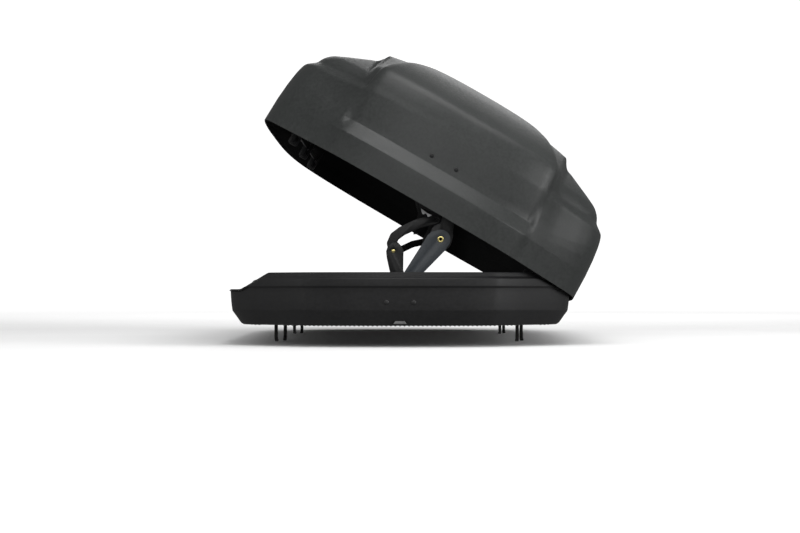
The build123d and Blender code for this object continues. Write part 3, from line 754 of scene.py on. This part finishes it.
def build_base():
    columns = [base_column(*point) for point in HALF_RIM]
    verts, faces, tail, right, left, nose = wrap_columns(columns, frame_point)
    faces.append((tail, right[0], left[0]))
    for a in range(len(right) - 1):
        faces.append((right[a], right[a + 1], left[a + 1], left[a]))
    faces.append((right[-1], nose, left[-1]))
    tray = new_piece("base_tray", verts, faces,
                     [MATERIALS["base"], MATERIALS["base_inside"]], smooth_angle=180)
    # the floor has to face down, so that the wall thickens inwards
    lowest = min(tray.data.polygons, key=lambda f: (round(f.center.z, 4), abs(f.center.x)))
    if lowest.normal.z > 0:
        tray.data.flip_normals()
    thicken(tray, BASE_WALL, rim_slot=0)
    half_width, half_length = FLOOR_OPENING_HALF_WIDTH, FLOOR_OPENING_HALF_LENGTH
    cut(tray, [box_corners(frame_point, (x - half_width, x + half_width),
                           (y - half_length, y + half_length), (-2, 12))
               for x in (-FLOOR_OPENING_X, FLOOR_OPENING_X) for y in FLOOR_OPENING_YS])
    shade(tray, 50)
    attach(tray, "base", node="base_shell")


RIB_PITCH = 10.0
RIBS_PER_SIDE = 34
RIB_GAP = 24          # no rib this close to the floor openings' centre lines
RIB_TOP_Z = 0.6       # sunk into the floor
# floor outline: the rim outline drawn in by these at the sides, tail and nose
FLOOR_SIDE_INSET, FLOOR_TAIL_INSET, FLOOR_NOSE_INSET = 56, 53, 80


def build_floor_ribs():
    """Lengthwise ribs under the floor, tapered at both ends."""
    verts, faces = [], []
    for k in range(-RIBS_PER_SIDE, RIBS_PER_SIDE + 1):
        x = k * RIB_PITCH
        if abs(abs(x) - FLOOR_OPENING_X) < RIB_GAP:
            continue
        reach = [distance for rim_x, distance, _ in HALF_RIM
                 if rim_x * (HALF_WIDTH - FLOOR_SIDE_INSET) / HALF_WIDTH > abs(x) + 6]
        tail_y = (min(reach) - HALF_LENGTH) * (HALF_LENGTH - FLOOR_TAIL_INSET) / HALF_LENGTH + 3
        nose_y = (max(reach) - HALF_LENGTH) * (HALF_LENGTH - FLOOR_NOSE_INSET) / HALF_LENGTH - 4
        # stations along the rib: (y, half width, depth)
        stations = [(tail_y, 0.8, 0.3), (tail_y + 5, 1.8, 1.1), (tail_y + 12, 2.5, 1.7),
                    (nose_y - 14, 2.5, 1.7), (nose_y - 5, 1.8, 1.1), (nose_y, 0.8, 0.3)]
        loft(verts, faces, [[frame_point(x - half, y, RIB_TOP_Z),
                             frame_point(x - half * 0.8, y, -depth * 0.6),
                             frame_point(x - half * 0.4, y, -depth),
                             frame_point(x + half * 0.4, y, -depth),
                             frame_point(x + half * 0.8, y, -depth * 0.6),
                             frame_point(x + half, y, RIB_TOP_Z)]
                            for y, half, depth in stations])
    ribs = new_piece("base_floor_ribs", verts, faces, [MATERIALS["base"]], smooth_angle=60)
    attach(ribs, "base")


# ------------------------------------------------------------------ CAD pieces
# (material, bevel width in metres, node name patterns); the first match counts
FINISHES = [
    ("galvanised", 0.0003, "*floor_rail* *catch_brackets*"),
    ("black_steel", 0.0007, "*lid_rail* lid_hoops lid_bracket_screws *bolt_bar* "
                            "*lifter_lid_bracket* *base_bracket*"),
    ("nylon", 0.0003, "*bush*"),
    ("zinc", 0.0003, "*screws* long_arm_pivots short_arm_pivots"),
    ("gold", 0.0005, "elbow_eyelets link_rivets"),
    ("grey_arm", 0.0007, "*long_arm*"),
    ("dark_arm", 0.0008, "*upper_arm*"),
    ("black_steel", 0.0007, "*short_arm* *curved_link*"),
    ("lock", 0.0005, "*lock_cylinder*"),
    ("black_plastic", 0.0008, "*handle_cup* clamp_housings *knuckle*"),
    ("handle", 0.0014, "*handle*"),
    ("knob", 0.0008, "*knob*"),
    ("jaw", 0.0012, "*jaw*"),
]


def finish_of(node):
    return next((MATERIALS[material], width) for material, width, patterns in FINISHES
                if any(fnmatchcase(node, pattern) for pattern in patterns.split()))


def soften(node, body):
    """A finished copy of a CAD node, with rolled edges, standing for it."""
    material, width = finish_of(node)
    mesh = frame["nodes"][node].data.copy()
    mesh.materials.clear()
    mesh.materials.append(material)
    piece = add_object(node + "_finished", mesh)
    bm = bmesh.new()
    bm.from_mesh(mesh)
    bmesh.ops.remove_doubles(bm, verts=bm.verts, dist=1e-6)
    bmesh.ops.dissolve_limit(bm, angle_limit=math.radians(1.0), verts=bm.verts,
                             edges=bm.edges)
    for face in bm.faces:
        face.material_index = 0
    bm.to_mesh(mesh)
    bm.free()
    bevel(piece, width)
    shade(piece, 35)
    attach(piece, body, node=node)


def soften_cad_pieces():
    record = frame["record"]
    body_of = {node: body for body, nodes in record["behaviour"]["bodies"].items()
               for node in nodes}
    for node in sorted(body_of):
        if node not in ("lid_shell", "base_shell"):
            soften(node, body_of[node])


# ------------------------------------------------------------------ small parts
RIVET_X, RIVET_Z = 29.5, 51.5
# (radius, height out from the wall)
RIVET_PROFILE = [(5.2, -1.5), (5.2, 0.4), (4.6, 1.1), (3.2, 1.6), (1.2, 1.8)]
RIVET_SEGMENTS = 32


def build_rivet_head(name, centre, axis):
    """Low domed head on an end wall of the base."""
    first = axis.orthogonal().normalized()
    second = axis.cross(first)
    angles = [2 * math.pi * k / RIVET_SEGMENTS for k in range(RIVET_SEGMENTS)]
    verts, faces = [], []
    loft(verts, faces, [[centre + axis * (height * MM)
                         + (first * math.cos(a) + second * math.sin(a)) * (radius * MM)
                         for a in angles]
                        for radius, height in RIVET_PROFILE])
    head = new_piece(name, verts, faces, [MATERIALS["black_plastic"]], smooth_angle=40)
    attach(head, "base")


def build_rivet_heads():
    for end, y, outward in (("tail", -1021.6, -1), ("nose", 1011.0, 1)):
        for side, x in (("l", -RIVET_X), ("r", RIVET_X)):
            build_rivet_head(f"{end}_base_rivet_head_{side}", frame_point(x, y, RIVET_Z),
                             Vector((0, outward, 0)))


# sections from the bottom up: (half width, tail-side y, nose-side y, height)
TAIL_STEP = [(15.6, -1005.4, -990, 1.6), (14.2, -1006.6, -991, 5.0),
             (10.4, -1002.2, -996, 10.6)]


def build_tail_step():
    """Small step low in the middle of the tail; its sloping face is coloured pale grey as a
    painted highlight.
    """
    verts, faces = [], []
    loft(verts, faces, [[frame_point(x, y, z) for x, y in
                         ((-half, tail_y), (half, tail_y), (half, nose_y), (-half, nose_y))]
                        for half, tail_y, nose_y, z in TAIL_STEP])
    step = new_piece("tail_step", verts, faces,
                     [MATERIALS["base"], MATERIALS["painted_highlight_plastic"]])
    bevel(step, 0.0005)
    # painted highlight: faces sloping up towards the tail take pale grey for the light they
    # catch
    for face in step.data.polygons:
        if face.normal.z > 0.35 and face.normal.y < -0.2:
            face.material_index = 1
    attach(step, "base")


# outline of the plate: (x, z)
HOOK_OUTLINE = [(70.2, 241.1), (64.3, 238.1), (60.6, 237.1), (58.3, 242.6), (54.6, 244.8),
                (51.7, 242.6), (48.7, 244.0), (47.2, 247.7), (45.6, 255.6), (50.9, 252.2),
                (58.3, 246.6)]
HOOK_Y = (-988.2, -986.4)


def build_hook():
    """Bright hooked plate at the tail lifter's lid bracket."""
    count = len(HOOK_OUTLINE)
    verts = [frame_point(x, y, z) for y in HOOK_Y for x, z in HOOK_OUTLINE]
    faces = [tuple(range(count)), tuple(range(2 * count - 1, count - 1, -1))]
    for i in range(count):
        j = (i + 1) % count
        faces.append((i, j, count + j, count + i))
    hook = new_piece("tail_bracket_hook", verts, faces, [MATERIALS["hook"]])
    bevel(hook, 0.0004)
    attach(hook, "lid")


# ------------------------------------------------------------------ stage, in metres
STAGE_HALF_WIDTH = 16.0
STAGE_FRONT_Y, STAGE_BEND_Y = -14.0, 9.0
STAGE_BEND_RADIUS, STAGE_BEND_STEPS = 4.0, 16
STAGE_TOP = 16.0
STAGE_GAP = 0.0006    # floor below the lowest CAD point


def studio_floor():
    """Near-white floor that glows more and more towards the back (+y)."""
    material, tree, shader = new_material("studio_floor")
    clouds = noise(tree, object_coords(tree), scale=1.2, detail=2.0)
    geometry = add_node(tree, "NewGeometry", {})
    position = add_node(tree, "SeparateXYZ", {0: geometry.outputs["Position"]})
    glow = add_node(tree, "MapRange", {"From Min": 0.8, "From Max": 7.0, "To Min": 0.0,
                                       "To Max": 0.62, "Value": position.outputs["Y"]})
    set_inputs(tree, shader, {
        "Base Color": ramp(tree, clouds, (0.3, grey(0.86)), (0.7, grey(0.9))),
        "Roughness": 0.9,
        "Specular IOR Level": 0.1,
        "Emission Color": (1, 1, 1, 1),
        "Emission Strength": glow.outputs[0],
    })
    return material


def build_stage():
    """Floor that curves up into a back wall."""
    radius = STAGE_BEND_RADIUS
    profile = [(STAGE_FRONT_Y, 0.0), (STAGE_BEND_Y, 0.0)]
    for k in range(1, STAGE_BEND_STEPS + 1):
        angle = math.pi / 2 * k / STAGE_BEND_STEPS
        profile.append((STAGE_BEND_Y + radius * math.sin(angle),
                        radius - radius * math.cos(angle)))
    profile.append((STAGE_BEND_Y + radius, STAGE_TOP))
    floor_z = CAD_BOX[0][2] - STAGE_GAP
    verts = [(x, y, floor_z + height) for y, height in profile
             for x in (-STAGE_HALF_WIDTH, STAGE_HALF_WIDTH)]
    faces = [(2 * k, 2 * k + 1, 2 * k + 3, 2 * k + 2) for k in range(len(profile) - 1)]
    sweep = new_piece("studio_sweep", verts, faces, [studio_floor()], smooth_angle=180)
    sweep.visible_glossy = False
    sweep.visible_diffuse = False


# ------------------------------------------------------------------ light and camera
def light_world():
    """White surroundings, dimmer in reflections."""
    world = bpy.context.scene.world or bpy.data.worlds.new("world")
    bpy.context.scene.world = world
    world.use_nodes = True
    tree = world.node_tree
    rays = add_node(tree, "LightPath", {})
    strength = add_node(tree, "MapRange", {"To Min": 0.5, "To Max": 0.16,
                                           "Value": rays.outputs["Is Glossy Ray"]})
    set_inputs(tree, tree.nodes.get("Background"), {0: (1, 1, 1, 1),
                                                    1: strength.outputs[0]})


# (name, place, point aimed at, size, watts), lengths in metres
LIGHTS = [
    ("key_top", (0.7, -1.5, 3.4), (0, -0.6, 0.3), (3.0, 1.6), 80),
    ("front_soft", (0.2, -5.6, 1.9), (0, -0.9, 0.3), (4.0, 2.0), 60),
    ("left_soft", (-3.6, -2.4, 0.9), (0, -0.6, 0.3), (2.0, 1.6), 22),
    ("right_soft", (3.4, -2.2, 0.7), (0, -0.6, 0.3), (2.0, 1.4), 66),
    ("nose_fill", (0.5, 4.2, 2.6), (0, 0.5, 0.3), (3.0, 2.0), 40),
]


def add_lights():
    for name, place, target, size, power in LIGHTS:
        light = bpy.data.lights.new(name, "AREA")
        light.shape = "RECTANGLE"
        light.size, light.size_y = size
        light.energy = power
        lamp = add_object(name, light)
        lamp.location = place
        aim = Vector(target) - Vector(place)
        lamp.rotation_euler = aim.to_track_quat("-Z", "Y").to_euler()


def add_camera():
    """Level camera behind the tail, looking along +y."""
    camera = bpy.data.cameras.new("camera")
    mount = add_object("camera", camera)
    mount.location = (0.0, -5.16, 0.078)
    mount.rotation_euler = (math.pi / 2, 0, 0)
    camera.sensor_width = 36.0
    camera.lens = 86.175
    camera.shift_y = 0.029375    # as a share of the picture width
    camera.clip_end = 100.0
    bpy.context.scene.camera = mount


# ------------------------------------------------------------------ build
build_lid()
build_base()
build_floor_ribs()
soften_cad_pieces()
build_rivet_heads()
build_tail_step()
build_hook()
build_stage()
light_world()
add_lights()
add_camera()
bpy.context.scene.view_settings.view_transform = "Standard"
bpy.context.scene.view_settings.look = "None"
